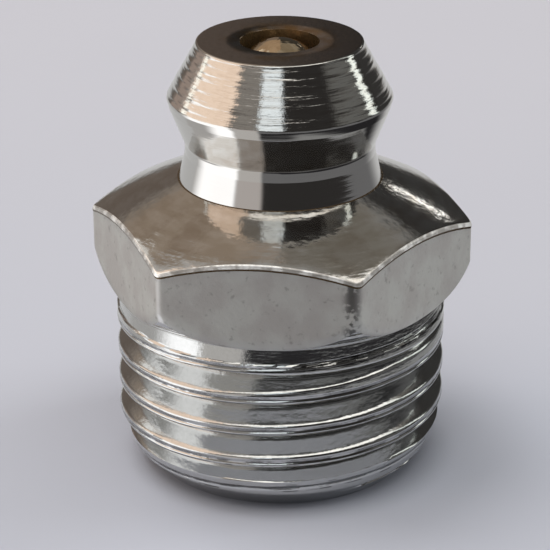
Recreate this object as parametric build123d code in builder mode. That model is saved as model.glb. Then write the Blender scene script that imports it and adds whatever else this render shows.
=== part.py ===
from build123d import *

import os
from math import atan2, cos, degrees, radians, sqrt, tan

# A straight grease nipple, M10 x 1, with a cone head for a gripping coupler.
#
# One turned and cold-headed steel body holds a ball check valve: a ball is pressed up
# against a coined seat under the mouth by a coil spring, which stands on the lip that
# is rolled in at the bottom of the grease passage.
#
# The part stands on its threaded end. Z is the axis, and z = 0 is the end face.

# --- Driving dimensions, in millimetres -----------------------------------------------

overall_height = 13.0

# Shank, before the thread is cut into it
thread_major_diameter = 9.85
end_face_diameter = 7.9
end_chamfer_diameter = 9.1
end_chamfer_height = 0.62
lead_in_height = 1.65
land_diameter = 9.72
land_bottom = 4.92
land_top = 5.38

# Thread. It is right-handed, and its groove runs out over the last part of a turn.
thread_pitch = 1.0
thread_depth = 0.57
thread_flank_angle = 30
crest_width = 0.3
crest_height_in_front = 3.87
groove_start = 0.3
groove_end = 4.3
run_out_turns = 0.35
cutter_clearance = 0.05

# Hexagon. Its top is slightly crowned and its lower corners are rounded off.
hex_across_flats = 9.9
hex_turn = -7.5
hex_edge_radius = 0.3
hex_shoulder = 7.59
hex_crown_point = (4.45, 8.26)
hex_relief_point = (5.45, 5.92)
hex_relief_top = 6.5

# Collar, neck and coupler head. The collar tapers into the neck, and the coupler's
# jaws close there, under the head.
collar_diameter = 5.98
collar_bottom = 8.89
neck_diameter = 5.58
neck_height = 9.8
neck_radius = 0.12
head_diameter = 6.62
head_land_bottom = 11.08
head_land_top = 11.36
head_edge_radius = 0.45
top_face_diameter = 4.84
top_edge_chamfer = 0.07

# Grease passage and valve
mouth_diameter = 2.3
ball_diameter = 2.5
ball_above_face = 0.04
seat_gap = 0.02
chamber_diameter = 3.0
chamber_top = 11.5
lip_height = 0.6
lip_diameter = 1.9
lip_recess_diameter = 3.6
lip_recess_depth = 0.25

# Spring. Its wire is drawn with six flat sides.
wire_diameter = 0.35
wire_sides = 6
spring_coil_diameter = 2.0
spring_turns = 6
spring_clearance = 0.02

# --- Values worked out from them ------------------------------------------------------

blank_radius = hex_across_flats / sqrt(3)
ball_radius = ball_diameter / 2
ball_centre = overall_height + ball_above_face - ball_radius
seat_radius = ball_radius + seat_gap
seat_edge = ball_centre + sqrt(seat_radius**2 - (mouth_diameter / 2) ** 2)

# The groove's width is what the pitch leaves beside the crest, and its flanks narrow it
# to a small flat at the root. The cutter reaches a little past the blank.
root_radius = thread_major_diameter / 2 - thread_depth
flank_slope = tan(radians(thread_flank_angle))
root_half_width = (thread_pitch - crest_width) / 2 - thread_depth * flank_slope
cutter_depth = thread_depth + cutter_clearance
cutter_half_width = root_half_width + cutter_depth * flank_slope

# The front is at -90 degrees. The groove is half a pitch under the crest there, and
# climbs one pitch a turn.
groove_in_front = crest_height_in_front - thread_pitch / 2
groove_start_angle = (groove_start - groove_in_front) / thread_pitch * 360 - 90
groove_end_angle = (groove_end - groove_in_front) / thread_pitch * 360 - 90
run_out_height = run_out_turns * thread_pitch
run_out_cone = degrees(atan2(cutter_depth, run_out_height))


# --- Thread cutters -------------------------------------------------------------------
# Both start at +X, and are turned to their places when the body is cut. The second
# carries on where the first ends, and climbs out of the metal on a cone.

with BuildPart() as groove_cutter:
    with BuildLine():
        groove_path = Helix(
            pitch=thread_pitch,
            height=groove_end - groove_start,
            radius=root_radius,
            center=(0, 0, groove_start),
        )
    across_groove = Plane(
        origin=groove_path @ 0, x_dir=(1, 0, 0), z_dir=groove_path % 0
    )
    with BuildSketch(across_groove) as groove_section:
        with BuildLine():
            Polyline(
                (0, -root_half_width),
                (cutter_depth, -cutter_half_width),
                (cutter_depth, cutter_half_width),
                (0, root_half_width),
                close=True,
            )
        make_face()
    sweep(path=groove_path, is_frenet=True)

with BuildPart() as run_out_cutter:
    with BuildLine():
        run_out_path = Helix(
            pitch=thread_pitch / cos(radians(run_out_cone)),
            height=run_out_height,
            radius=root_radius,
            center=(0, 0, groove_end),
            cone_angle=run_out_cone,
        )
    across_run_out = Plane(
        origin=run_out_path @ 0, x_dir=(1, 0, 0), z_dir=groove_path % 0
    )
    with BuildSketch(across_run_out):
        add(groove_section.sketch_local)
    sweep(path=run_out_path, is_frenet=True)


# --- Body -----------------------------------------------------------------------------

with BuildPart() as body:
    # The blank, turned all round. The hexagon is still a full disc here, with its
    # cone on top and its rounded corner relief underneath.
    with BuildSketch(Plane.XZ) as blank_profile:
        with BuildLine():
            shank = Polyline(
                (0, 0),
                (end_face_diameter / 2, 0),
                (end_chamfer_diameter / 2, end_chamfer_height),
                (thread_major_diameter / 2, lead_in_height),
                (thread_major_diameter / 2, land_bottom),
                (land_diameter / 2, land_bottom),
                (land_diameter / 2, land_top),
            )
            relief = ThreePointArc(
                shank @ 1, hex_relief_point, (blank_radius, hex_relief_top)
            )
            corner = Line(relief @ 1, (blank_radius, hex_shoulder))
            crown = ThreePointArc(
                corner @ 1, hex_crown_point, (collar_diameter / 2, collar_bottom)
            )
            head = FilletPolyline(
                crown @ 1,
                (neck_diameter / 2, neck_height),
                (head_diameter / 2, head_land_bottom),
                (head_diameter / 2, head_land_top),
                (top_face_diameter / 2, overall_height),
                radius=[neck_radius, head_edge_radius, head_edge_radius],
            )
            Polyline(head @ 1, (0, overall_height), (0, 0))
        make_face()
    revolve(axis=Axis.Z)

    # The thread groove and its run-out.
    add(groove_cutter.part, rotation=(0, 0, groove_start_angle), mode=Mode.SUBTRACT)
    add(run_out_cutter.part, rotation=(0, 0, groove_end_angle), mode=Mode.SUBTRACT)

    # Six flats, cut out of the disc between the shank and the collar.
    with BuildSketch(Plane.XY.offset(land_top)) as flats:
        Circle(blank_radius + 1)
        with BuildSketch(mode=Mode.PRIVATE) as hexagon_outline:
            RegularPolygon(radius=blank_radius, side_count=6, rotation=hex_turn)
            fillet(hexagon_outline.vertices(), radius=hex_edge_radius)
        add(hexagon_outline.sketch, mode=Mode.SUBTRACT)
    extrude(amount=collar_bottom - land_top, mode=Mode.SUBTRACT)

    # Grease passage: mouth, coined ball seat, valve chamber and rolled-in lip.
    with BuildSketch(Plane.XZ) as passage_profile:
        with BuildLine():
            mouth = Polyline(
                (0, overall_height),
                (mouth_diameter / 2, overall_height),
                (mouth_diameter / 2, seat_edge),
            )
            seat = RadiusArc(
                mouth @ 1, (seat_radius, ball_centre), seat_radius
            )
            chamber = Polyline(
                seat @ 1,
                (chamber_diameter / 2, chamber_top),
                (chamber_diameter / 2, lip_height),
                (lip_diameter / 2, lip_height),
                (lip_diameter / 2, lip_recess_depth),
                (lip_recess_diameter / 2, 0),
                (0, 0),
                (0, overall_height),
            )
        make_face()
    revolve(axis=Axis.Z, mode=Mode.SUBTRACT)

    # A small break on the head's top edge. The rim of the mouth is left sharp.
    top_edges = body.edges().filter_by(GeomType.CIRCLE).group_by(Axis.Z)[-1]
    chamfer(top_edges.sort_by(SortBy.RADIUS)[-1], length=top_edge_chamfer)


# --- Ball -----------------------------------------------------------------------------

with BuildPart() as ball:
    with Locations((0, 0, ball_centre)):
        Sphere(radius=ball_radius)


# --- Spring ---------------------------------------------------------------------------
# It stands on the lip, and its last turn bears on the underside of the ball.

coil_radius = spring_coil_diameter / 2
wire_radius = wire_diameter / 2
spring_bottom = lip_height + wire_radius + spring_clearance
reach = ball_radius + wire_radius + spring_clearance
spring_top = ball_centre - sqrt(reach**2 - coil_radius**2)
spring_height = spring_top - spring_bottom
spring_pitch = spring_height / spring_turns

with BuildPart() as spring:
    with BuildLine():
        coil = Helix(
            pitch=spring_pitch,
            height=spring_height,
            radius=coil_radius,
            center=(0, 0, spring_bottom),
        )
    with BuildSketch(Plane(origin=coil @ 0, z_dir=coil % 0)):
        RegularPolygon(radius=wire_radius, side_count=wire_sides)
    sweep(path=coil, is_frenet=True)


# --- Output ---------------------------------------------------------------------------

body.part.label = "body"
ball.part.label = "ball"
spring.part.label = "spring"

os.makedirs("parts", exist_ok=True)
export_step(body.part, "parts/body.step")
export_step(ball.part, "parts/ball.step")
export_step(spring.part, "parts/spring.step")
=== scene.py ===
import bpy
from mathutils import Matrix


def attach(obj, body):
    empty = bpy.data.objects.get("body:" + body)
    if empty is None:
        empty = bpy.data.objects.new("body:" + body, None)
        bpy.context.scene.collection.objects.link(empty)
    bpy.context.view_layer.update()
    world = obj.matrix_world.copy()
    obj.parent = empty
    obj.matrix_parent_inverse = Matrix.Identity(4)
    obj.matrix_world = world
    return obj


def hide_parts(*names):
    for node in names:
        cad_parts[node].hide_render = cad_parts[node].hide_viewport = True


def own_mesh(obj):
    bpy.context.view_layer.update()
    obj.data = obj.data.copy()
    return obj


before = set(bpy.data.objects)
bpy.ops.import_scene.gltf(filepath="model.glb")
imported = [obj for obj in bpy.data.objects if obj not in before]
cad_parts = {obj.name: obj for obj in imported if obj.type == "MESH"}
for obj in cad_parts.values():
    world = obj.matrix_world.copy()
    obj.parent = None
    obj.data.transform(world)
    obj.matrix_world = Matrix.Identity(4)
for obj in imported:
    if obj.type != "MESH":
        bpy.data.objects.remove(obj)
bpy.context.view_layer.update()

# %% [markdown]
# # A straight grease nipple
# A grease nipple is screwed into a machine where a bearing wants grease. A coupler snaps
# over its cone head, pushes the ball down and pumps grease past it, and a spring shuts
# the ball again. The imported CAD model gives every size. This script puts the surface on
# it: the rolled thread, the turning marks, the zinc plate and the stain round the mouth.
#
# All lengths below are written in millimetres and multiplied by MM at the very end,
# because Blender's own unit here is the metre.

# %% Tools used by every cell
from math import asin, atan2, cos, degrees, pi, radians, sin, sqrt, tan

import bmesh
import bpy
import numpy as np
from mathutils import Matrix, Vector

MM = 0.001

# %% [markdown]
# ## Sums between sockets
# A material and a Geometry Nodes tree are both graphs of small boxes. Wiring a sum by
# hand takes a Math node for each sign. A small class that wraps a socket can own the
# Python operators instead, so that `1 - mask * 0.4` adds its own Math nodes. The
# reflected forms, such as `__rsub__`, are what make the number on the left work.


# %% A socket that does sums
def sign(operation, swapped=False):
    """The method behind one of Python's signs. The reflected form swaps its sides."""

    def method(self, other):
        sides = (other, self) if swapped else (self, other)
        return self.graph.maths(operation, *sides)

    return method


class Flow:
    """One socket of a node graph. Its operators add the Math nodes they stand for."""

    __add__, __radd__ = sign("ADD"), sign("ADD", swapped=True)
    __sub__, __rsub__ = sign("SUBTRACT"), sign("SUBTRACT", swapped=True)
    __mul__, __rmul__ = sign("MULTIPLY"), sign("MULTIPLY", swapped=True)
    __truediv__, __rtruediv__ = sign("DIVIDE"), sign("DIVIDE", swapped=True)

    def __init__(self, graph, socket):
        self.graph = graph
        self.socket = socket

    def maths(self, operation, *others):
        """Any other Math node, with this socket as its first value."""
        return self.graph.maths(operation, self, *others)

    def __neg__(self):
        return self * -1.0

    def __abs__(self):
        return self.maths("ABSOLUTE")


class Graph:
    """A node tree with one method that adds any node, and a few sums built on it."""

    def __init__(self, tree):
        self.tree = tree
        tree.nodes.clear()

    def add(self, kind, settings=None, sockets=None, output=0):
        """Adds a node. Its settings come first, because they decide which sockets exist."""
        node = self.tree.nodes.new(kind)
        for name, value in (settings or {}).items():
            setattr(node, name, value)
        for name, value in (sockets or {}).items():
            self.feed(node.inputs[name], value)
        return Flow(self, node.outputs[output]) if len(node.outputs) else node

    def feed(self, socket, value):
        if isinstance(value, Flow):
            self.tree.links.new(value.socket, socket)
        else:
            socket.default_value = value

    def maths(self, operation, *values):
        return self.add("ShaderNodeMath", {"operation": operation}, dict(enumerate(values)))

    def split(self, vector):
        """The x, y and z of a vector."""
        parts = self.add("ShaderNodeSeparateXYZ", None, {0: vector}).socket.node.outputs
        return [Flow(self, part) for part in parts]

    def join(self, x, y, z=0.0):
        """A vector from its x, y and z."""
        return self.add("ShaderNodeCombineXYZ", None, {0: x, 1: y, 2: z})

    def length(self, x, y):
        """How far (x, y) is from the origin."""
        return (x * x + y * y).maths("SQRT")

    def bearing(self, x, y):
        """The direction of (x, y) in radians: 0 towards -Y, the front, and then to +X."""
        return x.maths("ARCTAN2", -y)

    def step(self, value, low, high):
        """0 below low, 1 above high, and a smooth rise between."""
        sockets = {"Value": value, "From Min": low, "From Max": high}
        return self.add("ShaderNodeMapRange", {"interpolation_type": "SMOOTHSTEP"}, sockets)

    def band(self, value, low, high, soft):
        """1 between low and high, fading to 0 over soft on either side."""
        rise = self.step(value, low - soft / 2, low + soft / 2)
        fall = self.step(value, high - soft / 2, high + soft / 2)
        return rise * (1.0 - fall)

    def mix(self, share, first, second, blend="MIX"):
        """Mixes two colours. Colours never go through a Math node, which would grey them."""
        settings = {"data_type": "RGBA", "blend_type": blend}
        sockets = {0: share, 6: first, 7: second}
        return self.add("ShaderNodeMix", settings, sockets, output=2)

    def noise(self, place, scale, detail=2.0, stretch=(1.0, 1.0, 1.0)):
        """Noise from 0 to 1 whose marks are about 1 / scale wide."""
        if stretch != (1.0, 1.0, 1.0):
            place = self.add("ShaderNodeMapping", None, {"Vector": place, "Scale": stretch})
        sockets = {"Vector": place, "Scale": scale, "Detail": detail}
        return self.add("ShaderNodeTexNoise", None, sockets)


def colour(red, green, blue):
    """An sRGB colour from 0 to 255, as the linear colour that Blender's sockets hold."""
    shares = [value / 255 for value in (red, green, blue)]
    linear = [s / 12.92 if s <= 0.04045 else ((s + 0.055) / 1.055) ** 2.4 for s in shares]
    return (*linear, 1.0)


def grey(level):
    """A grey given in linear light."""
    return (level, level, level, 1.0)


TO_DEGREES = 180 / pi
print("a mid grey of 128 is", round(colour(128, 128, 128)[0], 3), "in linear light")

# %% [markdown]
# ## The camera
# The camera looks down by about 23 degrees and from not far away, so that the top face is
# an open ellipse and the lower rings are rounder than the upper ones. It could simply be
# aimed by eye, but a place, a target and a focal length in pixels are easier to correct.
# It is put in place first, because every later cell is judged through it.

# %% Place the camera
CAMERA_PLACE = (0.0, -63.991, 33.184)
CAMERA_TARGET = (-0.166, 0.0, 5.628)
CAMERA_ROLL = -0.248
FOCAL_PIXELS = 2316.9
PICTURE_PIXELS = 550
SENSOR = 36.0
CLIP = (1, 5000)


def new_object(name, data):
    """An object that is linked to the scene."""
    made = bpy.data.objects.new(name, data)
    bpy.context.scene.collection.objects.link(made)
    return made


camera_data = bpy.data.cameras.new("camera")
camera_data.sensor_width = SENSOR
camera_data.lens = FOCAL_PIXELS / PICTURE_PIXELS * SENSOR
camera_data.clip_start = CLIP[0] * MM
camera_data.clip_end = CLIP[1] * MM
camera = new_object("camera", camera_data)
bpy.context.scene.camera = camera

sight = (Vector(CAMERA_TARGET) - Vector(CAMERA_PLACE)).normalized()
turn = sight.to_track_quat("-Z", "Y").to_matrix().to_4x4()
roll = Matrix.Rotation(radians(CAMERA_ROLL), 4, "Z")
camera.matrix_world = Matrix.Translation(Vector(CAMERA_PLACE) * MM) @ turn @ roll
print("lens", round(camera_data.lens, 2), "mm, looking down", round(degrees(asin(-sight.z)), 1))

# %% [markdown]
# ## Rings and columns
# Almost the whole body is turned, so its surface is a pile of rings round the Z axis.
# The hexagon isn't round, but it can be made of rings too if each ring may have its own
# radius in each direction. All rings share the same directions, called columns here, so
# that they weld into one closed skin. The columns crowd together at the six corners,
# where the shape turns quickly.

# %% Choose the columns
COLUMNS = 288
CROWDING = 0.8
HEX_TURN = -7.5


def column_angle(share):
    """The direction, in degrees, of a column at this share of one whole turn."""
    sixth = share * 6
    return HEX_TURN + 60 * (sixth - CROWDING * np.sin(2 * pi * sixth) / (2 * pi))


angles = np.radians(column_angle(np.arange(COLUMNS) / COLUMNS))
print("closest columns", round(float(np.degrees(np.diff(angles).min())), 3), "degrees apart")

# %% [markdown]
# ## The rolled thread
# The thread is rolled between dies, so its crests are smooth and a little uneven. It is a
# groove that climbs by one pitch in each turn, right-handed, and it runs out below the
# plain land. A thread could be swept along a helix and joined to the shank by a boolean, but
# that leaves a poor seam. Here Geometry Nodes bend a flat grid round the shank instead:
# each row of the grid follows the helix, so the crest's edges are rows and stay even.
# The rows are cut off level at both ends, and merging what falls together there closes
# the grid into a tube that welds to the rings above and below.

# %% Sizes of the thread
SHANK = {
    "Pitch": 1.0,
    "Major Radius": 4.925,
    "Depth": 0.57,
    "Crest Flat": 0.30,
    "Crest Rounding": 0.13,
    "Root Rounding": 0.08,
    "Crest Height": 3.87,
    "Bottom": 0.38,
    "Top": 5.0,
    "Chamfer Radius": 4.55,
    "Chamfer Height": 0.62,
    "Face Radius": 3.95,
    "Lead-in Height": 1.65,
    "Land Radius": 4.86,
    "Land Bottom": 4.92,
    "Groove End": 4.3,
    "Run-out Turns": 0.35,
    "Run-out Rise": 0.62,
    "Unevenness": 0.008,
    "Rows per Turn": 32.0,
}
FRONT = -90.0
TOUCHING = 0.001
print("thread: M", SHANK["Major Radius"] * 2, "x", SHANK["Pitch"], "deep", SHANK["Depth"])


# %% Start and end of every tree
def start_tree(name, counts, sizes):
    """A new tree with named inputs. Returns it, its graph and the inputs by name."""
    tree = bpy.data.node_groups.new(name, "GeometryNodeTree")
    tree.interface.new_socket("Geometry", in_out="OUTPUT", socket_type="NodeSocketGeometry")
    for kind, names in (("NodeSocketInt", counts), ("NodeSocketFloat", sizes)):
        for input_name in names:
            tree.interface.new_socket(input_name, in_out="INPUT", socket_type=kind)
    graph = Graph(tree)
    inputs = tree.nodes.new("NodeGroupInput")
    return tree, graph, {s.name: Flow(graph, s) for s in inputs.outputs if s.name}


def end_tree(graph, geometry, finish):
    """Makes instances real and gives the result its material."""
    real = graph.add("GeometryNodeRealizeInstances", None, {0: geometry})
    coated = graph.add("GeometryNodeSetMaterial", None, {"Geometry": real, "Material": finish})
    graph.add("NodeGroupOutput", None, {0: coated})


# %% Build the thread's tree
FLANK_ANGLE = 30
STEP_TO_LAND = (-0.02, 0.03)
PLAIN_END = 0.15
UNEVEN_RADIUS = 4.9
UNEVEN_SCALE = 1.6


def thread_tree(finish):
    """A Geometry Nodes tree that bends a grid into the threaded shank."""
    tree, graph, size = start_tree("threaded_shank", ("Columns", "Rows"), SHANK)
    grid_sockets = {
        "Size X": 1.0,
        "Size Y": 1.0,
        "Vertices X": size["Columns"] + 1,
        "Vertices Y": size["Rows"] + 1,
    }
    grid = graph.add("GeometryNodeMeshGrid", None, grid_sockets)
    across_grid, up_grid, _ = graph.split(graph.add("GeometryNodeInputPosition"))
    round_share = across_grid + 0.5
    row_share = up_grid + 0.5

    # The direction of each column, and the height of each row on the helix.
    sixth = round_share * 6
    crowd = (sixth * (2 * pi)).maths("SINE") * (CROWDING / (2 * pi))
    angle = (sixth - crowd) * 60 + HEX_TURN
    climb = size["Pitch"] * (angle - HEX_TURN) / 360
    first_row = size["Bottom"] - size["Pitch"]
    row_height = row_share * size["Rows"] * size["Pitch"] / size["Rows per Turn"]
    height = first_row + row_height + climb
    height = height.maths("MAXIMUM", size["Bottom"]).maths("MINIMUM", size["Top"])

    # How far this point is from the middle of the nearest crest, along the axis.
    crest = size["Crest Height"] + size["Pitch"] * (angle - FRONT) / 360
    turns = (height - crest) / size["Pitch"]
    apart = abs(turns - turns.maths("ROUND")) * size["Pitch"]

    # The last stretch of the groove climbs out of the metal and gets shallower.
    groove_height = crest + (turns.maths("FLOOR") + 0.5) * size["Pitch"]
    past_end = (groove_height - size["Groove End"]) / (size["Pitch"] * size["Run-out Turns"])
    past_end = past_end.maths("MAXIMUM", 0.0)

    # A groove of twice the flank angle, with a rounded root and rounded crests.
    into = (apart - size["Crest Flat"] / 2) * (1 / tan(radians(FLANK_ANGLE)))
    into = into.maths("SMOOTH_MIN", size["Depth"], size["Root Rounding"])
    into = into - past_end * size["Run-out Rise"]
    into = into.maths("SMOOTH_MAX", 0.0, size["Crest Rounding"])
    groove = size["Major Radius"] - into

    # The blank's own outline: end chamfer, lead-in cone and, at the top, the land.
    chamfer_slope = (size["Chamfer Radius"] - size["Face Radius"]) / size["Chamfer Height"]
    chamfer = size["Face Radius"] + height * chamfer_slope
    lead_rise = size["Major Radius"] - size["Chamfer Radius"]
    lead_run = size["Lead-in Height"] - size["Chamfer Height"]
    lead = size["Chamfer Radius"] + (height - size["Chamfer Height"]) * (lead_rise / lead_run)
    step_down = size["Major Radius"] - size["Land Radius"]
    above = graph.step(height, *(size["Land Bottom"] + offset for offset in STEP_TO_LAND))
    blank = size["Major Radius"] - step_down * above
    blank = blank.maths("MINIMUM", lead).maths("MINIMUM", chamfer)
    radius = groove.maths("MINIMUM", blank)

    # Rolling leaves the crests and flanks a little uneven, more along the thread than up it.
    turn_angle = angle * (pi / 180)
    across = turn_angle.maths("COSINE")
    along = turn_angle.maths("SINE")
    noise_place = graph.join(across * UNEVEN_RADIUS, along * UNEVEN_RADIUS, height * 3.0)
    uneven = graph.noise(noise_place, UNEVEN_SCALE, 3.0)
    inside = graph.band(height, size["Bottom"] + PLAIN_END, size["Top"] - PLAIN_END, 0.2)
    radius = radius + (uneven - 0.5) * size["Unevenness"] * inside * 2

    point = graph.join(radius * across * MM, radius * along * MM, height * MM)
    bent = graph.add("GeometryNodeSetPosition", None, {"Geometry": grid, "Position": point})
    merge_sockets = {"Geometry": bent, "Distance": TOUCHING * MM}
    welded = graph.add("GeometryNodeMergeByDistance", None, merge_sockets)
    end_tree(graph, welded, finish)
    return tree


# %% Run a tree and keep its mesh
def mesh_from_tree(tree, values):
    """Runs a Geometry Nodes tree on an empty object and returns its mesh."""
    carrier = new_object("carrier", bpy.data.meshes.new("carrier"))
    modifier = carrier.modifiers.new("tree", "NODES")
    modifier.node_group = tree
    for item in tree.interface.items_tree:
        if item.in_out == "INPUT" and item.name in values:
            modifier[item.identifier] = values[item.name]
    bpy.context.view_layer.update()
    evaluated = carrier.evaluated_get(bpy.context.evaluated_depsgraph_get())
    mesh = bpy.data.meshes.new_from_object(evaluated)
    bpy.data.objects.remove(carrier)
    return mesh


# %% [markdown]
# ## Bright zinc, and where it isn't bright
# The whole body is steel with a thin bright zinc plate, so most finishes are a metal of
# the same pale colour. What differs is how the steel under it was worked: the head is
# turned and nearly a mirror with fine rings round it, the six flats are drawn and satin,
# the thread is rolled. The flats and the bead scatter so much light that they are made
# part matt, with Metallic well under 1. A picture could be wrapped round the part, but
# noise that reads the place on the part has no seam. One function makes the plate, and
# each finish gives its own marks.


# %% The zinc plate
def start_finish(name):
    """A new material's graph, with its place in millimetres as the first node."""
    material = bpy.data.materials.new(name)
    material.use_nodes = True
    graph = Graph(material.node_tree)
    coordinates = graph.add("ShaderNodeTexCoord", output=3)
    scale_sockets = {0: coordinates, "Scale": 1 / MM}
    place = graph.add("ShaderNodeVectorMath", {"operation": "SCALE"}, scale_sockets)
    return material, graph, place


def bump(graph, *layers):
    """Stacks layers, each a height from 0 to 1 and how many millimetres deep it is."""
    normal = {}
    for height, depth in layers:
        sockets = {"Strength": 1.0, "Distance": depth * MM, "Height": height, **normal}
        normal = {"Normal": graph.add("ShaderNodeBump", None, sockets)}
    return normal["Normal"]


def plate(graph, base, roughness, normal, metallic=1.0):
    """Puts the surface together: a metal unless it is told to be less of one."""
    sockets = {
        "Base Color": base,
        "Metallic": metallic,
        "Roughness": roughness,
        "Normal": normal,
    }
    shader = graph.add("ShaderNodeBsdfPrincipled", None, sockets)
    graph.add("ShaderNodeOutputMaterial", None, {"Surface": shader})


ZINC = colour(212, 211, 208)
ZINC_DULL = colour(186, 186, 181)
# Painted on the flats: a bright highlight line down one corner, and a patchy dark mark by the next.
HIGHLIGHT_CORNER = (-3.39, -4.42)
DARK_PATCH_CORNER = (1.98, -5.17)
# Dark lines painted along a crest, partly the seams that rolling folds in and partly painted
# shade at its edges: how far above it, how wide, and how much of it is broken away.
SEAM_AND_SHADE_LINES = [(0.0, 0.035, 0.45), (-0.13, 0.03, 0.46), (0.13, 0.02, 0.55)]


def turned_zinc():
    """The cone: fine rings round the axis and a slightly straw-coloured grain."""
    material, graph, place = start_finish("turned_zinc")
    fine = graph.noise(place, 14.0, 3.0, (0.06, 0.06, 1.0))
    grain = graph.noise(place, 9.0, 2.0)
    normal = bump(graph, (fine, 0.010), (grain, 0.0025))
    tint = graph.mix(grain * 0.5, ZINC, colour(206, 201, 192))
    plate(graph, tint, 0.05 + fine * 0.05, normal)
    return material


def polished_zinc():
    """The neck and collar: nearly a mirror, with only a trace of the cutter's rings."""
    material, graph, place = start_finish("polished_zinc")
    fine = graph.noise(place, 9.0, 2.0, (0.06, 0.06, 1.0))
    wave = graph.noise(place, 0.9, 1.0)
    normal = bump(graph, (fine, 0.0022), (wave, 0.003))
    tint = graph.mix(wave * 0.5, ZINC, colour(206, 202, 198))
    plate(graph, tint, 0.06 + fine * 0.04, normal)
    return material


def satin_zinc():
    """Drawn hexagon bar under plate: a fine grey mottle, more matt than metal."""
    material, graph, place = start_finish("satin_zinc")
    cloud = graph.noise(place, 1.1, 3.0)
    grain = graph.noise(place, 7.0, 4.0)
    speck = graph.noise(place, 22.0, 2.0)
    normal = bump(graph, (grain, 0.010), (speck, 0.003))
    tint = graph.mix(graph.step(cloud, 0.35, 0.65), ZINC_DULL, colour(176, 173, 169))
    pits = graph.step(graph.noise(place, 4.5, 4.0), 0.60, 0.72)
    tint = graph.mix(pits * 0.45, tint, colour(120, 117, 112))
    # A bright highlight line is painted down one corner, and a patchy dark mark by the next one.
    x, y, _ = graph.split(place)
    from_highlight = graph.length(x - HIGHLIGHT_CORNER[0], y - HIGHLIGHT_CORNER[1])
    painted_highlight = 1 - graph.step(from_highlight, 0.03, 0.14)
    tint = graph.mix(painted_highlight * 0.8, tint, colour(240, 240, 240))
    from_dark_patch = graph.length(x - DARK_PATCH_CORNER[0], y - DARK_PATCH_CORNER[1])
    dark_patch = (1 - graph.step(from_dark_patch, 0.06, 0.34)) * graph.step(grain + cloud, 0.85, 1.05)
    tint = graph.mix(dark_patch * 0.85, tint, colour(58, 56, 54))
    plate(graph, tint, 0.38 + grain * 0.14, normal, 0.3)
    return material


def bead_zinc():
    """The frosted bead along the hexagon's upper edge: pale, and half matt."""
    material, graph, place = start_finish("bead_zinc")
    grain = graph.noise(place, 6.0, 2.0)
    worn = graph.step(graph.noise(place, 3.0, 2.0), 0.35, 0.6)
    tint = graph.mix(worn, colour(248, 247, 243), colour(176, 172, 166))
    plate(graph, tint, 0.18 + grain * 0.12, bump(graph, (grain, 0.014)), 0.5)
    return material


def crown_zinc():
    """The crown, the turned top of the hexagon: bright, with faint rings and dents."""
    material, graph, place = start_finish("crown_zinc")
    rings = graph.noise(place, 5.0, 2.0, (0.2, 0.2, 1.0))
    fine_rings = graph.noise(place, 15.0, 2.0, (0.06, 0.06, 1.0))
    grain = graph.noise(place, 7.0, 3.0)
    dents = graph.noise(place, 1.7, 2.0)
    layers = [(dents, 0.011), (rings, 0.008), (fine_rings, 0.003), (grain, 0.003)]
    normal = bump(graph, *layers)
    tint = graph.mix(graph.step(rings, 0.35, 0.65) * 0.5, ZINC, colour(182, 174, 162))
    plate(graph, tint, 0.06 + grain * 0.08, normal)
    return material


def thread_zinc():
    """Rolled thread: smooth, with a fine grain, rolled-in folds and dark crest lines, partly seams
    and partly painted shade.
    """
    material, graph, place = start_finish("thread_zinc")
    grain = graph.noise(place, 9.0, 3.0)
    drawn = graph.noise(place, 11.0, 2.0, (0.15, 0.15, 1.0))
    # How far this spot is above the nearest crest, measured along the axis, in pitches.
    x, y, z = graph.split(place)
    lift = z - SHANK["Crest Height"] - graph.bearing(x, y) / (2 * pi) + 0.5
    above_crest = lift.maths("FRACT") - 0.5
    patches = graph.noise(place, 2.4, 3.0, (0.5, 0.5, 1.4))
    crease = 1 - graph.step(abs(above_crest + 0.02 - patches * 0.04), 0.0, 0.10)
    folds = crease * (0.4 + patches)
    normal = bump(graph, (folds, -0.045), (drawn, 0.006), (grain, 0.004))
    tint = graph.mix(grain, colour(211, 211, 210), colour(198, 199, 197))
    # Each dark line is painted: partly a seam in the crest, partly painted shade along its edges.
    for height, wide, low in SEAM_AND_SHADE_LINES:
        dark_line = 1 - graph.step(abs(above_crest - height), wide * 0.4, wide)
        dark_line = dark_line * graph.step(patches, low, low + 0.06)
        tint = graph.mix(dark_line * 0.72, tint, colour(78, 76, 74))
    plate(graph, tint, 0.07 + grain * 0.11, normal)
    return material


def mouth_zinc():
    """The top face round the mouth, dulled and stained brown by old grease."""
    material, graph, place = start_finish("mouth_zinc")
    grain = graph.noise(place, 6.0, 3.0)
    normal = bump(graph, (grain, 0.003))
    tint = graph.mix(grain, colour(156, 146, 140), colour(132, 120, 110))
    x, y, _ = graph.split(place)
    blotch = graph.noise(place, 0.9, 3.0)
    near_mouth = 1 - graph.step(graph.length(x, y) + blotch * 1.6, 2.3, 2.8)
    smear = graph.step(graph.noise(place, 1.7, 3.0), 0.36, 0.60) * near_mouth
    tint = graph.mix(smear * 0.75, tint, colour(132, 104, 62))
    plate(graph, tint, 0.16 + grain * 0.12, normal)
    return material


def grained(name, scale, first, second, roughness, depth, metallic=1.0):
    """A plain surface: two colours, a roughness and a bump that all follow one grain."""
    material, graph, place = start_finish(name)
    grain = graph.noise(place, scale, 3.0)
    tint = graph.mix(grain, colour(*first), colour(*second))
    plate(graph, tint, roughness + grain * 0.15, bump(graph, (grain, depth)), metallic)
    return material


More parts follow.
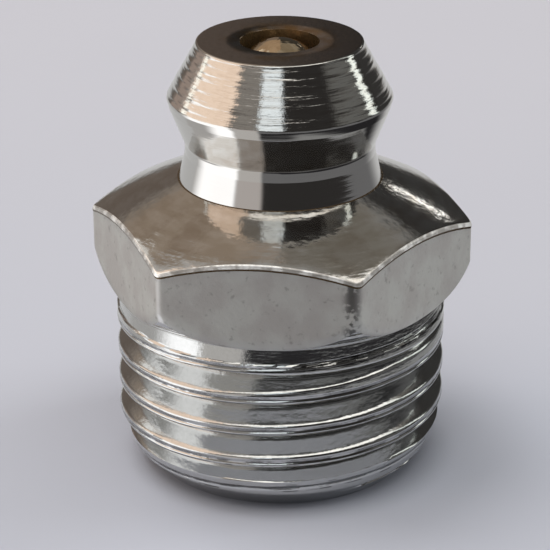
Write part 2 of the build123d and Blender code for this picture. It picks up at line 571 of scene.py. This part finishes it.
# The last two are the brown film of old grease, which hides most of the metal and also
# paints the shade under the bead, at the collar's foot and down the mouth, and the grease
# passage, which plating hardly reaches.
FINISHES = [
    turned_zinc(),
    polished_zinc(),
    satin_zinc(),
    bead_zinc(),
    crown_zinc(),
    thread_zinc(),
    mouth_zinc(),
    grained("grease_and_shade", 3.0, (106, 86, 58), (64, 51, 36), 0.2, 0.03, 0.6),
    grained("passage_steel", 6.0, (150, 142, 130), (110, 100, 88), 0.35, 0.003),
]
TURNED, POLISHED, SATIN, BEAD, CROWN, THREAD, MOUTH, GREASE_AND_SHADE, PASSAGE = range(len(FINISHES))
print("finishes:", [m.name for m in FINISHES])

# %% Roll the thread
turns = (SHANK["Top"] - SHANK["Bottom"]) / SHANK["Pitch"] + 1
counts = {"Columns": COLUMNS, "Rows": int(turns * SHANK["Rows per Turn"]) + 1}
thread_mesh = mesh_from_tree(thread_tree(FINISHES[THREAD]), {**counts, **SHANK})
print("thread:", len(thread_mesh.vertices), "vertices,", len(thread_mesh.polygons), "faces")

# %% [markdown]
# ## The hexagon
# The hexagon is cut from a turned blank, so where a flat meets the cone on top of the
# blank the edge is an arc, high in the middle of a flat and low at a corner. A boolean cut
# would give it, with untidy faces along the edge. Working out the flat's distance in each
# direction gives the arc for nothing: the cone's height is simply read at that distance.
# Cutting leaves a small burr along the arc, and plating rounds it into a bright bead.


# %% Circles through three points
def circle_height(points, above):
    """Returns a function: the height at a radius, on the circle through three points."""
    (x1, y1), (x2, y2), (x3, y3) = points
    lines = np.array([[x2 - x1, y2 - y1], [x3 - x1, y3 - y1]], float) * 2
    squares = np.array([x2**2 + y2**2 - x1**2 - y1**2, x3**2 + y3**2 - x1**2 - y1**2], float)
    cx, cy = np.linalg.solve(lines, squares)
    radius = sqrt((x1 - cx) ** 2 + (y1 - cy) ** 2)
    side = 1 if above else -1
    return lambda r: cy + side * np.sqrt(np.maximum(radius**2 - (r - cx) ** 2, 0.0))


APOTHEM = 4.95
BLANK = APOTHEM * 2 / sqrt(3)
COLLAR_R = 2.99
# The arcs that end the hexagon: its crown above, from the collar to a corner, and the
# relief below, from the plain land to a corner. Each point is a radius and a height.
CROWN_ARC = [(COLLAR_R, 8.89), (4.45, 8.26), (BLANK, 7.59)]
RELIEF_ARC = [(SHANK["Land Radius"], 5.38), (5.45, 5.92), (BLANK, 6.5)]
crown_height = circle_height(CROWN_ARC, True)
relief_height = circle_height(RELIEF_ARC, False)
print("crown at a corner", round(float(crown_height(BLANK)), 2))
print("relief half way", round(float(relief_height(RELIEF_ARC[1][0])), 2))


# %% The hexagon's distance in each direction
def hexagon_reach(corner_radius=0.3):
    """How far the six flats and their rounded corners are in each column."""
    turned = (np.degrees(angles) - HEX_TURN + 30) % 60 - 30
    off_corner = np.radians(np.abs(turned))
    flat = APOTHEM / np.cos(pi / 6 - off_corner)
    middle = (APOTHEM - corner_radius) / cos(pi / 6)
    inside = np.maximum(corner_radius**2 - (middle * np.sin(off_corner)) ** 2, 0.0)
    corner = middle * np.cos(off_corner) + np.sqrt(inside)
    tangent = atan2(corner_radius * sin(pi / 6), middle + corner_radius * cos(pi / 6))
    return np.where(off_corner < tangent, corner, flat)


reach = hexagon_reach()
print("across flats", round(float(reach.min()) * 2, 3), "corners", round(float(reach.max()) * 2, 3))


# %% Rings of the hexagon
# The crown's foot, where the rings of the hexagon meet those of the collar.
FOOT_R = 3.2
EDGE_ROUNDING = 0.09
# The burr under the edge: how far down, and how far it stands out.
BURR = [(0.02, 0.014), (0.05, 0.020), (0.08, 0.010), (0.11, 0.0)]
BURR_END = BURR[-1][0]
# Below this depth the burr takes the grease finish: a painted shade line under the bead.
BRIGHT_BURR = 0.06
LOWER_EDGE = 0.05
RELIEF_INSET = 0.03


def hexagon_rings():
    """Rings from the crown's foot down to the land, as (radius, height, finish)."""
    rings = []
    slope = (crown_height(reach - 0.01) - crown_height(reach + 0.01)) / 0.02
    fall = np.arctan(slope)
    length = EDGE_ROUNDING * np.tan((pi / 2 - fall) / 2)
    edge_z = crown_height(reach)
    start_r = reach - length * np.cos(fall)

    for share in np.linspace(0, 1, 15)[1:]:
        r = FOOT_R + (start_r - FOOT_R) * share
        rings.append((r, crown_height(r), CROWN))
    # The rounded edge, then the burr: it stands a little proud just under the edge, and its lower
    # part is painted dark as the shade beneath it.
    start_z = crown_height(start_r)
    for share in (0.25, 0.5, 0.75, 1.0):
        a, b = (1 - share) ** 2, share**2
        mid = 2 * share * (1 - share)
        r = a * start_r + mid * reach + b * reach
        z = a * start_z + mid * edge_z + b * (edge_z - length)
        rings.append((r, z, BEAD))
    top_z = edge_z - length
    for depth, proud in BURR:
        rings.append((reach + proud, top_z - depth, BEAD if depth < BRIGHT_BURR else GREASE_AND_SHADE))
    bottom_z = relief_height(reach) + LOWER_EDGE
    for share in np.linspace(0, 1, 9)[1:]:
        z = (top_z - BURR_END) + (bottom_z - top_z + BURR_END) * share
        rings.append((reach, z, SATIN))
    land_r = SHANK["Land Radius"]
    for share in np.linspace(0, 1, 10)[1:]:
        r = (reach - RELIEF_INSET) + (land_r - reach + RELIEF_INSET) * share
        rings.append((r, relief_height(r), SATIN if share < 0.2 else THREAD))
    rings.append((land_r, SHANK["Top"], THREAD))
    return rings


print("hexagon rings:", len(hexagon_rings()))

# %% [markdown]
# ## Collar, neck and coupler head
# These are turned, so a list of radius and height is the whole shape. The cutter's feed
# leaves a shallow groove each turn, and each groove is a tiny mirror that bends the
# light: that is what draws the rings across the bright bands. Bump alone would do for a
# still picture, but these rings are wide enough to see, so they are cut into the mesh.


# %% Rounded corners for a turned profile
def rounded(points, radii, steps):
    """Replaces each inner corner of a profile with a short arc of its radius."""
    out = [points[0]]
    for before, here, after, radius in zip(points, points[1:], points[2:], radii):
        here_v = Vector(here)
        back = (Vector(before) - here_v).normalized()
        on = (Vector(after) - here_v).normalized()
        half = back.angle(on) / 2
        length = min(radius / tan(half), (Vector(before) - here_v).length * 0.49)
        for share in np.linspace(0, 1, steps + 1):
            a, b, c = (1 - share) ** 2, 2 * share * (1 - share), share**2
            point = a * (here_v + back * length) + b * here_v + c * (here_v + on * length)
            out.append(tuple(point))
    out.append(points[-1])
    return out


# %% Turning marks
MARKS = 56
MARK_SLOPE = 9
MARK_SEED = 4


def turning_marks(count, slope, seed):
    """Heights of the cutter's marks along a line, in millimetres, ending level."""
    dice = np.random.default_rng(seed)
    tilt = dice.normal(0, slope, count)
    tilt = np.convolve(tilt, [0.25, 0.5, 0.25], "same")
    marks = np.cumsum(tilt)
    marks -= np.linspace(marks[0], marks[-1], count)
    return marks - marks.max()


HEAD_R = 3.31
HEAD_LAND = (11.08, 11.36)
LAND_TAPER = 0.075
CONE = (11.48, 12.93)
TOP_FACE_R = 2.42
TOP = 13.0
# The narrowest stretch of the neck, as radius and height.
NECK = [(2.795, 9.66), (2.80, 9.98)]
# How much each corner is rounded: collar's foot to neck, neck, under the head, its edge.
ROUNDINGS = [0.15, 0.4, 0.25, 0.16]
# Rings from the crown's foot in to the collar, where the corner is painted dark as shade.
CORNER_RINGS = (FOOT_R, 3.1, 3.035)


def on_cone(height):
    """The point of the gripping cone at this height."""
    share = (height - HEAD_LAND[1]) / (TOP - HEAD_LAND[1])
    return HEAD_R + (TOP_FACE_R - HEAD_R) * share, height


def cone_rings():
    """The gripping cone, from its wide end to its top edge, with its turning marks."""
    wide, narrow = (on_cone(height) for height in CONE)
    step = sqrt((wide[0] - narrow[0]) ** 2 + (wide[1] - narrow[1]) ** 2) / MARKS
    marks = turning_marks(MARKS, tan(radians(MARK_SLOPE)) * step, MARK_SEED)
    shares = np.linspace(0, 1, MARKS)
    return [
        (wide[0] + (narrow[0] - wide[0]) * s + m, wide[1] + (narrow[1] - wide[1]) * s)
        for s, m in zip(shares, marks)
    ]


# %% Sizes of the mouth, the valve chamber and the end face
BALL_RADIUS = 1.25
BALL_HEIGHT = 11.79
MOUTH_R = 1.15
MOUTH_EDGE = (0.04, 0.03)
SEAT_CLEARANCE = 0.02
GREASE_LINE = 12.9
SEAT_TOP = 12.33
CHAMBER_R = 1.5
CHAMBER_TOP = 11.5
LIP_R = 0.95
LIP = (0.25, 0.6)
RECESS_R = 1.8
print("mouth", MOUTH_R * 2, "ball", BALL_RADIUS * 2, "chamber", CHAMBER_R * 2)


# %% Profile from the crown up over the head and down the passage
def head_rings():
    """Rings from the crown's foot up to the top face, as (radius, height, finish)."""
    outline = rounded(
        [
            (COLLAR_R, float(crown_height(COLLAR_R))),
            *NECK,
            (HEAD_R - LAND_TAPER, HEAD_LAND[0]),
            (HEAD_R, HEAD_LAND[1]),
            cone_rings()[0],
        ],
        ROUNDINGS,
        steps=8,
    )
    rings = [(r, float(crown_height(r)), CROWN) for r in CORNER_RINGS]
    # The strip in the corner at the collar's foot takes the grease finish: painted shade in the
    # crevice.
    rings.append((*outline[0], GREASE_AND_SHADE))
    rings += [(r, z, POLISHED if z < HEAD_LAND[1] else TURNED) for r, z in outline[1:]]
    rings += [(r, z, TURNED) for r, z in cone_rings()[1:]]
    face_radii = (2.3, 2.0, 1.6, MOUTH_R + MOUTH_EDGE[0])
    edge = rounded([on_cone(CONE[1]), (TOP_FACE_R, TOP), (face_radii[0], TOP)], [0.08], steps=6)
    rings += [(r, z, TURNED) for r, z in edge[1:-1]]
    rings += [(r, TOP, MOUTH) for r in face_radii]
    rings.append((MOUTH_R, TOP - MOUTH_EDGE[1], MOUTH))
    # The mouth's wall is dark brown: old grease, and painted shade inside the hole.
    rings += [(MOUTH_R, z, GREASE_AND_SHADE) for z in (GREASE_LINE, SEAT_TOP)]
    return rings


def passage_rings():
    """The seat, the chamber, the rolled-in lip and the end face."""
    seat = BALL_RADIUS + SEAT_CLEARANCE
    rings = []
    for tilt in np.linspace(asin((SEAT_TOP - BALL_HEIGHT) / seat), 0, 8)[1:]:
        rings.append((seat * cos(tilt), BALL_HEIGHT + seat * sin(tilt), GREASE_AND_SHADE))
    rings += [(CHAMBER_R, z, PASSAGE) for z in (CHAMBER_TOP, 8.0, 4.0, LIP[1])]
    rings += [(LIP_R, z, PASSAGE) for z in (LIP[1], LIP[0])]
    face_r = SHANK["Face Radius"]
    rings += [(RECESS_R, 0.0, THREAD), (face_r, 0.0, THREAD)]
    # The end chamfer is met part way up, where the thread's own mesh begins.
    rise = (SHANK["Chamfer Radius"] - face_r) / SHANK["Chamfer Height"]
    rings.append((face_r + rise * SHANK["Bottom"], SHANK["Bottom"], THREAD))
    return rings


print("head rings:", len(head_rings()), "passage rings:", len(passage_rings()))


# %% [markdown]
# ## One closed skin
# The real body is one piece of metal, and so is its mesh. The parts could be left lying
# against each other, but a gap would show at a low angle and the volume couldn't be
# checked. They share their columns, so the touching points weld into a closed skin.


# %% Weld the rings and the thread into one skin
def skin_from_rings(rings):
    """Points and faces of a pile of rings. Faces take the finish of the ring they end on."""
    cosines, sines = np.cos(angles), np.sin(angles)
    level = np.ones(COLUMNS)
    layers = [np.stack([r * cosines, r * sines, level * z], 1) for r, z, _ in rings]
    here = np.arange(COLUMNS)
    along = (here + 1) % COLUMNS
    faces, finishes = [], []
    for number in range(len(rings) - 1):
        low, high = number * COLUMNS, (number + 1) * COLUMNS
        faces.append(np.stack([low + here, low + along, high + along, high + here], 1))
        finishes.append(np.full(COLUMNS, rings[number + 1][2]))
    return [np.concatenate(part) for part in (layers, faces, finishes)]


hexagon_up = hexagon_rings()[::-1]
rings = [*hexagon_up, *head_rings(), *passage_rings()]
# The hexagon's rings were written downwards. Turned over, each face ends on its other
# ring, so its finishes move up by one.
for number, (_, _, finish) in enumerate(hexagon_up, start=1):
    rings[number] = (*rings[number][:2], finish)
points, faces, finish_of_face = skin_from_rings(rings)
skin = bpy.data.meshes.new("skin")
skin.from_pydata((points * MM).tolist(), [], faces.tolist())
skin.polygons.foreach_set("material_index", finish_of_face.astype(np.int32))
print("skin:", len(points), "points,", len(faces), "faces")


# %% Join the two meshes
SHARP_FROM = 38


def weld(meshes, name, finishes):
    """One closed mesh from several that touch, faces outwards, smooth but for its edges."""
    joined = bmesh.new()
    for mesh, finish in meshes:
        before = len(joined.faces)
        joined.from_mesh(mesh)
        joined.faces.ensure_lookup_table()
        if finish is not None:
            for face in joined.faces[before:]:
                face.material_index = finish
    bmesh.ops.remove_doubles(joined, verts=joined.verts, dist=TOUCHING * MM)
    bmesh.ops.dissolve_degenerate(joined, edges=joined.edges, dist=TOUCHING / 5 * MM)
    bmesh.ops.recalc_face_normals(joined, faces=joined.faces)
    open_edges = sum(1 for edge in joined.edges if len(edge.link_faces) != 2)
    volume = joined.calc_volume(signed=True) / MM**3
    mesh = bpy.data.meshes.new(name)
    for finish in finishes:
        mesh.materials.append(finish)
    joined.to_mesh(mesh)
    joined.free()
    mesh.shade_smooth()
    mesh.set_sharp_from_angle(angle=radians(SHARP_FROM))
    print(name, len(mesh.polygons), "faces,", open_edges, "open edges, mm3", round(volume, 1))
    return mesh


def place_piece(name, mesh, body, node):
    """Links a finished mesh as a piece that rides on a body and stands for a CAD node."""
    piece = new_object(name, mesh)
    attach(piece, body)
    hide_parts(node)
    return piece


body_mesh = weld([(skin, None), (thread_mesh, THREAD)], "nipple_body", FINISHES)
place_piece("nipple_body", body_mesh, "nipple", "body")

# %% [markdown]
# ## The ball
# The valve's ball fills the mouth and keeps dirt out. It is bright metal under a brown film
# of old grease. A sphere of rings and columns would do, but its poles pinch reflections,
# and one pole would be just where the ball is seen. A subdivided icosahedron has none.


# %% Make the ball
def ball_brass():
    """A ball under a film of old grease: golden brown, still glossy."""
    material, graph, place = start_finish("ball_brass")
    film = graph.noise(place, 1.8, 3.0)
    grain = graph.noise(place, 9.0, 2.0)
    lumps = graph.noise(place, 3.6, 1.0)
    tint = graph.mix(film, colour(248, 230, 200), colour(214, 190, 156))
    normal = bump(graph, (lumps, 0.035), (grain, 0.0015))
    plate(graph, tint, 0.06 + film * 0.10, normal)
    return material


ball = bmesh.new()
bmesh.ops.create_icosphere(ball, subdivisions=5, radius=BALL_RADIUS * MM)
bmesh.ops.translate(ball, verts=ball.verts, vec=(0, 0, BALL_HEIGHT * MM))
ball_mesh = bpy.data.meshes.new("valve_ball")
ball.to_mesh(ball_mesh)
ball.free()
ball_mesh.materials.append(ball_brass())
ball_mesh.shade_smooth()
place_piece("valve_ball", ball_mesh, "valve", "ball")
print("ball:", len(ball_mesh.polygons), "faces")

# %% [markdown]
# ## The spring
# Under the ball stands a coil spring of round wire, with a dead turn at each end so that
# it bears evenly. A ready-made spiral could be swept, but it has no closed ends. A curve
# that follows a rule is work for Geometry Nodes: a line is resampled, wound round the
# axis, and given the wire's round section.

# %% Sizes of the spring
SPRING = {
    "Turns": 8.0,
    "Coil Radius": 1.0,
    "Wire Radius": 0.175,
    "Bottom": 0.795,
    "Top": 10.745,
    "Dead Share": 0.125,
}
# A dead turn rises by a little more than the wire's thickness, in wire radii.
DEAD_RISE = 2.05
WIRE_SIDES = 12
WIRE_POINTS = 420


def spring_tree(finish):
    """A Geometry Nodes tree that winds a wire into a spring with closed ends."""
    tree, graph, size = start_tree("valve_spring", ("Points",), SPRING)
    line = graph.add("GeometryNodeCurvePrimitiveLine")
    line = graph.add("GeometryNodeResampleCurve", None, {"Curve": line, "Count": size["Points"]})
    share = graph.add("GeometryNodeSplineParameter")
    turn_angle = share * size["Turns"] * (2 * pi)
    # The climb is slow over the first and last turn and even between them.
    climb = (share - size["Dead Share"]) / (1 - 2 * size["Dead Share"])
    climb = climb.maths("MAXIMUM", 0.0).maths("MINIMUM", 1.0)
    dead = size["Wire Radius"] * DEAD_RISE
    low = (share / size["Dead Share"]).maths("MINIMUM", 1.0)
    left = (1 - share) / size["Dead Share"]
    high = 1 - left.maths("MINIMUM", 1.0)
    free = size["Top"] - size["Bottom"] - dead * 2
    height = size["Bottom"] + dead * (low + high) + free * climb
    x = turn_angle.maths("COSINE") * size["Coil Radius"] * MM
    y = turn_angle.maths("SINE") * size["Coil Radius"] * MM
    point = graph.join(x, y, height * MM)
    coil = graph.add("GeometryNodeSetPosition", None, {"Geometry": line, "Position": point})
    circle = {"Resolution": WIRE_SIDES, "Radius": size["Wire Radius"] * MM}
    section = graph.add("GeometryNodeCurvePrimitiveCircle", None, circle)
    sweep = {"Curve": coil, "Profile Curve": section, "Fill Caps": True}
    end_tree(graph, graph.add("GeometryNodeCurveToMesh", None, sweep), finish)
    return tree


# %% Wind the spring
# Drawn spring steel is darker than the plate, with a fine even grain.
wire_finish = grained("spring_wire", 8.0, (150, 148, 144), (120, 118, 114), 0.25, 0.002)
wound = mesh_from_tree(spring_tree(wire_finish), {"Points": WIRE_POINTS, **SPRING})
spring_mesh = weld([(wound, 0)], "valve_spring", [wire_finish])
valve_spring = place_piece("valve_spring", spring_mesh, "nipple", "spring")
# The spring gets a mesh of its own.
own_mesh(valve_spring)

# %% [markdown]
# ## The table top
# A plain pale floor carries the part and takes its soft shadow. Close round the foot the
# light hardly reaches, and more lamps or rays would be the pure way to show it. A little
# dark paint under the part does the same for nothing, and it stays on the floor.


# %% Lay the floor
STAGE_HALF = 2000
# Painted shade: the floor darkens towards the camera, fully below -30 mm in y and not at all beyond
# 50 mm.
NEAR_SIDE = (-30.0, 50.0)
# The painted contact shadow: where its middle is, where it fades out, and how strong it is.
CONTACT_PLACE = (0.5, -0.25)
CONTACT_FADE = (3.7, 5.0)
CONTACT_STRENGTH = 0.35


def pale_floor():
    """Matt, pale and faintly blue, with painted shade towards the camera and a painted shadow under
    the part.
    """
    material, graph, place = start_finish("pale_floor")
    paper = graph.noise(place, 0.05, 3.0)
    tint = graph.mix(paper, colour(184, 185, 193), colour(180, 181, 189))
    x, y, _ = graph.split(place)
    # Painted shade: darker and a little bluer towards the camera.
    tint = graph.mix(1 - graph.step(y, *NEAR_SIDE), tint, colour(175, 179, 190))
    # Painted contact shadow round the foot.
    away = graph.length(x - CONTACT_PLACE[0], y - CONTACT_PLACE[1])
    contact = (1 - graph.step(away, *CONTACT_FADE)) * CONTACT_STRENGTH
    tint = graph.mix(contact, tint, colour(60, 62, 68))
    sockets = {"Base Color": tint, "Roughness": 0.9, "Specular IOR Level": 0.0}
    shader = graph.add("ShaderNodeBsdfPrincipled", None, sockets)
    graph.add("ShaderNodeOutputMaterial", None, {"Surface": shader})
    return material


def flat_square(name, half, height, material):
    """A square sheet on the floor."""
    corners = [(-half, -half), (half, -half), (half, half), (-half, half)]
    mesh = bpy.data.meshes.new(name)
    mesh.from_pydata([(x * MM, y * MM, height * MM) for x, y in corners], [], [(0, 1, 2, 3)])
    mesh.materials.append(material)
    sheet = new_object(name, mesh)
    return sheet


flat_square("floor", STAGE_HALF, 0.0, pale_floor())
print("floor:", STAGE_HALF * 2, "mm square")

# %% [markdown]
# ## What the metal sees
# Bright metal shows its surroundings, so a studio is really a set of things for it to
# reflect. Here a tall window stands on the left, a lamp hangs above and a little left of
# the camera, a sliver of light is on the right, and the ceiling is dim and brownish. They
# could be lit sheets standing round the part. Painted on the world by direction, they
# need no room and never get in the way. Direction 0 is towards the camera, -90 the left.

# %% The things in the room
# Each line is: what it is, its directions, its heights, its soft edge, all in degrees,
# and its light. A later line hides an earlier one.
ROOM = [
    ("dark wall in front", (-60, 130), (-20, 55), 20, (0.035, 0.033, 0.032)),
    ("brown ceiling on the left", (-185, -100), (24, 75), 12, (0.37, 0.30, 0.24)),
    ("low wall behind on the left", (-185, -125), (-20, 24), 14, (0.17, 0.14, 0.12)),
    ("dark wall behind on the right", (120, 185), (-20, 42), 12, (0.045, 0.044, 0.043)),
    ("ceiling on the right", (100, 185), (47, 76), 12, (0.21, 0.195, 0.17)),
    ("grey wall on the right", (62, 104), (12, 34), 10, (0.16, 0.16, 0.155)),
    ("pale wall by the window", (-140, -112), (0, 12), 8, (0.40, 0.32, 0.28)),
    ("grey board left of the camera", (-52, -21), (-20, 19), 6, (0.56, 0.52, 0.50)),
    ("grey haze above it", (-56, -24), (22, 60), 10, (0.30, 0.28, 0.26)),
    ("pale wall above the window", (-132, -112), (44, 70), 8, (0.55, 0.54, 0.53)),
    ("skylight behind the window", (-138, -126), (32, 44), 5, (1.1, 1.1, 1.08)),
    ("cream blind in the window", (-120, -56), (12, 62), 8, (1.25, 1.00, 0.82)),
    ("white sill", (-106, -52), (-20, 14), 6, (1.55, 1.55, 1.57)),
    ("bright gap in the blind", (-117, -111), (8, 20), 4, (1.6, 1.6, 1.5)),
    ("front lamp", (-24, 3), (23, 48), 6, (1.15, 1.25, 1.32)),
    ("sliver of daylight", (105, 114), (4, 55), 4, (1.5, 1.6, 1.55)),
    ("small window far behind", (152.5, 159), (20, 22.5), 2, (3.2, 3.2, 3.1)),
    ("light above the camera", (-60, 120), (52, 76), 10, (1.7, 1.68, 1.62)),
]


# %% Paint the room
OVERHEAD_LEFT = (0.40, 0.39, 0.375, 1)
OVERHEAD_RIGHT = (0.31, 0.30, 0.285, 1)
DINGY = (0.62, 0.55, 0.50, 1)


def painted_room():
    """The world above the table, in directions and heights in degrees."""
    world = bpy.data.worlds.new("room")
    bpy.context.scene.world = world
    world.use_nodes = True
    graph = Graph(world.node_tree)
    x, y, z = graph.split(graph.add("ShaderNodeTexCoord", output=0))
    azimuth = graph.bearing(x, y) * TO_DEGREES
    height = z.maths("ARCSINE") * TO_DEGREES

    # Straight overhead it is grey, a little brighter on the left.
    shade = graph.mix(graph.step(x, -0.3, 0.3), OVERHEAD_LEFT, OVERHEAD_RIGHT)
    for _, around, heights, soft, light in ROOM:
        share = graph.band(azimuth, *around, soft) * graph.band(height, *heights, soft)
        shade = graph.mix(share, shade, (*light, 1))
    # Every wall is a little uneven in brightness, mostly from one height to the next.
    uneven = graph.noise(graph.join(azimuth * 0.03, height * 0.16), 1.0, 3.0)
    dimmer = graph.mix(graph.step(uneven, 0.42, 0.62) * 0.45, grey(1.0), DINGY)
    streaked = graph.mix(1.0, shade, dimmer, "MULTIPLY")
    shade = graph.mix(graph.step(height, 8.0, 16.0), shade, streaked)

    background = graph.add("ShaderNodeBackground", None, {"Color": shade, "Strength": 1.0})
    graph.add("ShaderNodeOutputWorld", None, {"Surface": background})
    return world


painted_room()
print("things in the room:", len(ROOM))


# %% [markdown]
# ## A card on the table
# Below the horizon the metal sees the table. The pale floor alone would turn the plain
# land and the crests pale as well, so a card lies on it that only reflections see, as
# paper is laid beside a shiny part in a studio. Nothing matt catches its glow. It begins
# 7 to 11 mm from the axis, and it is black, grey or white by direction.


# %% Sizes of the card's fields
# Directions are in degrees, as in the room. Radii are in millimetres from the axis.
CARD_HEIGHT = 0.03
CARD_STARTS = (9.6, 11.4)
WHITE_STARTS = (7.0, 9.0)
FAR_OFF = (90.0, 260.0)
DIM_FROM = (-25.0, -19.0)
DIM_TO = (118.0, 150.0)
TURN_RIGHT = (5.0, 25.0)
CREST_DIP = (10.2, 11.2)
BLACK_STARTS = (12.2, 13.6)
BLACK_END = 18.0
BLACK_WIDER = 5.0
GREY_FADE = (13.2, 20.0)
BOARD = (-50.0, -22.0)
WHITE = (-114.0, -50.0)
CARD_SOFT = 6.0


# %% Paint the card
def card_paint():
    """Pale behind the part, dark in front and on the right, white on the left."""
    material, graph, place = start_finish("reflection_card")
    x, y, _ = graph.split(place)
    azimuth = graph.bearing(x, y) * TO_DEGREES
    away = graph.length(x, y)
    behind = graph.mix(graph.step(away, *FAR_OFF), grey(0.58), (0.16, 0.15, 0.14, 1))

    # In front and on the right: grey near the part, then a black ring, then grey again.
    from_right = graph.step(azimuth, *TURN_RIGHT)
    dip = graph.step(away, *CREST_DIP) * (1 - from_right)
    close = graph.mix(dip, grey(0.30), grey(0.13))
    near = graph.mix(graph.step(away, *GREY_FADE), close, (0.18, 0.18, 0.185, 1))
    black_start = graph.step(away - from_right, *BLACK_STARTS)
    black_end = BLACK_END + graph.step(azimuth, -3.0, 3.0) * BLACK_WIDER
    black_ring = black_start * (1 - graph.step(away - black_end, -1.0, 1.0))
    dark = graph.mix(black_ring, near, (0.025, 0.024, 0.026, 1))
    dim = graph.step(azimuth, *DIM_FROM) * (1 - graph.step(azimuth, *DIM_TO))
    shade = graph.mix(dim, behind, dark)

    # Left of the camera lies a grey board, and further left the white of the window.
    board = graph.band(azimuth, *BOARD, CARD_SOFT)
    shade = graph.mix(board, shade, (0.60, 0.58, 0.56, 1))
    white = graph.band(azimuth, *WHITE, CARD_SOFT)
    strong = graph.step(azimuth + graph.step(away, 20.0, 22.0) * 30.0, -88.0, -66.0)
    bright = graph.mix(strong, (0.5, 0.49, 0.48, 1), (1.6, 1.6, 1.62, 1))
    shade = graph.mix(white, shade, bright)

    glow = graph.add("ShaderNodeEmission", None, {"Color": shade, "Strength": 1.0})
    clear = graph.add("ShaderNodeBsdfTransparent")
    starts = graph.step(away, *CARD_STARTS)
    shown = starts + (graph.step(away, *WHITE_STARTS) - starts) * white
    out = graph.add("ShaderNodeMixShader", None, {0: shown, 1: clear, 2: glow})
    graph.add("ShaderNodeOutputMaterial", None, {"Surface": out})
    material.cycles.emission_sampling = "NONE"
    return material


card = flat_square("reflection_card", STAGE_HALF, CARD_HEIGHT, card_paint())
card.visible_camera = False
card.visible_diffuse = False
card.visible_shadow = False
card.visible_transmission = False
print("card: only reflections see it, from", WHITE_STARTS[0], "mm outwards")

# %% [markdown]
# ## Light for the floor
# The window lights the table from the left, so the shadow falls to the right and is very
# soft. Three broad lamps do that work: the window, the sky, and a low one that opens up
# the shadow. The painted world could light the floor too, but a lamp's shadow is easier
# to place. No reflection shows the lamps, because the metal already has the painted room.
# Only what is part matt catches their light: the flats, the bead and the dark grease finish.


# %% Hang the lamps
def soft_lamp(name, azimuth, height, distance, size, power):
    """A square lamp that faces the part from a direction in degrees."""
    data = bpy.data.lights.new(name, "AREA")
    data.shape = "SQUARE"
    data.size = size * MM
    data.energy = power
    lamp = new_object(name, data)
    a, e = radians(azimuth), radians(height)
    towards = Vector((sin(a) * cos(e), -cos(a) * cos(e), sin(e)))
    lamp.location = towards * distance * MM
    lamp.rotation_mode = "QUATERNION"
    lamp.rotation_quaternion = towards.to_track_quat("Z", "Y")
    lamp.visible_glossy = False
    lamp.visible_camera = False
    print(name, "at", azimuth, "degrees,", height, "up,", power, "W")


soft_lamp("window_light", -122, 68, 220, 110, 0.185)
soft_lamp("sky_light", -20, 80, 380, 380, 0.42)
soft_lamp("right_light", 100, 12, 300, 160, 0.60)

# %% Colour stays as it is written
bpy.context.scene.view_settings.view_transform = "Standard"
